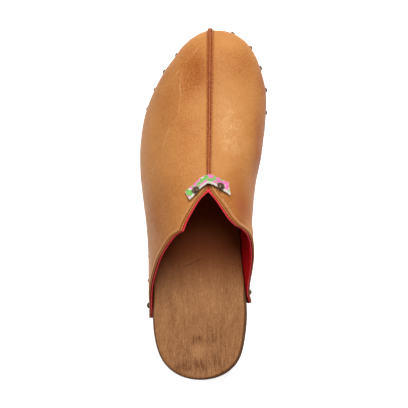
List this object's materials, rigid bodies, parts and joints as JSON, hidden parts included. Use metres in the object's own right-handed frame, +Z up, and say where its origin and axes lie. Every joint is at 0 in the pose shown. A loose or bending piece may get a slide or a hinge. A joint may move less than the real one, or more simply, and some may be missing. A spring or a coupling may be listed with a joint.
{
  "type": "clog",
  "caption": "Backless left clog: a leather upper with a raised middle seam and a pointed throat, nailed around the side of a carved wooden sole with a heel.",
  "frame": {"origin": "middle of the shoe's bounding box on the floor", "axes": "+Z up, +Y towards the toe, +X towards the big toe's side"},
  "size_m": [0.0968, 0.2654, 0.1003],
  "materials": {
    "wood": "bare wood, oiled, with fine lengthwise grain and a dark burnished edge",
    "leather": "natural tan full-grain leather, waxed, lightly scuffed",
    "lining": "thin red lining leather",
    "patch": "printed leather in pink and green blotches with a pale cut edge",
    "thread": "waxed sewing thread",
    "bronze": "dark antiqued bronze"
  },
  "bodies": {
    "root": {"sole": "wood", "upper": "leather", "throat_patch": "patch", "patch_rivet_lateral": "bronze", "patch_rivet_medial": "bronze", "tack_01": "bronze", "tack_02": "bronze", "tack_03": "bronze", "tack_04": "bronze", "tack_05": "bronze", "tack_06": "bronze", "tack_07": "bronze", "tack_08": "bronze", "tack_09": "bronze", "tack_10": "bronze", "tack_11": "bronze", "tack_12": "bronze", "tack_13": "bronze", "tack_14": "bronze", "tack_15": "bronze", "tack_16": "bronze", "tack_17": "bronze", "tack_18": "bronze", "tack_19": "bronze", "tack_20": "bronze", "tack_21": "bronze", "tack_22": "bronze", "tack_23": "bronze", "tack_24": "bronze", "tack_25": "bronze"}
  },
  "joints": []
}
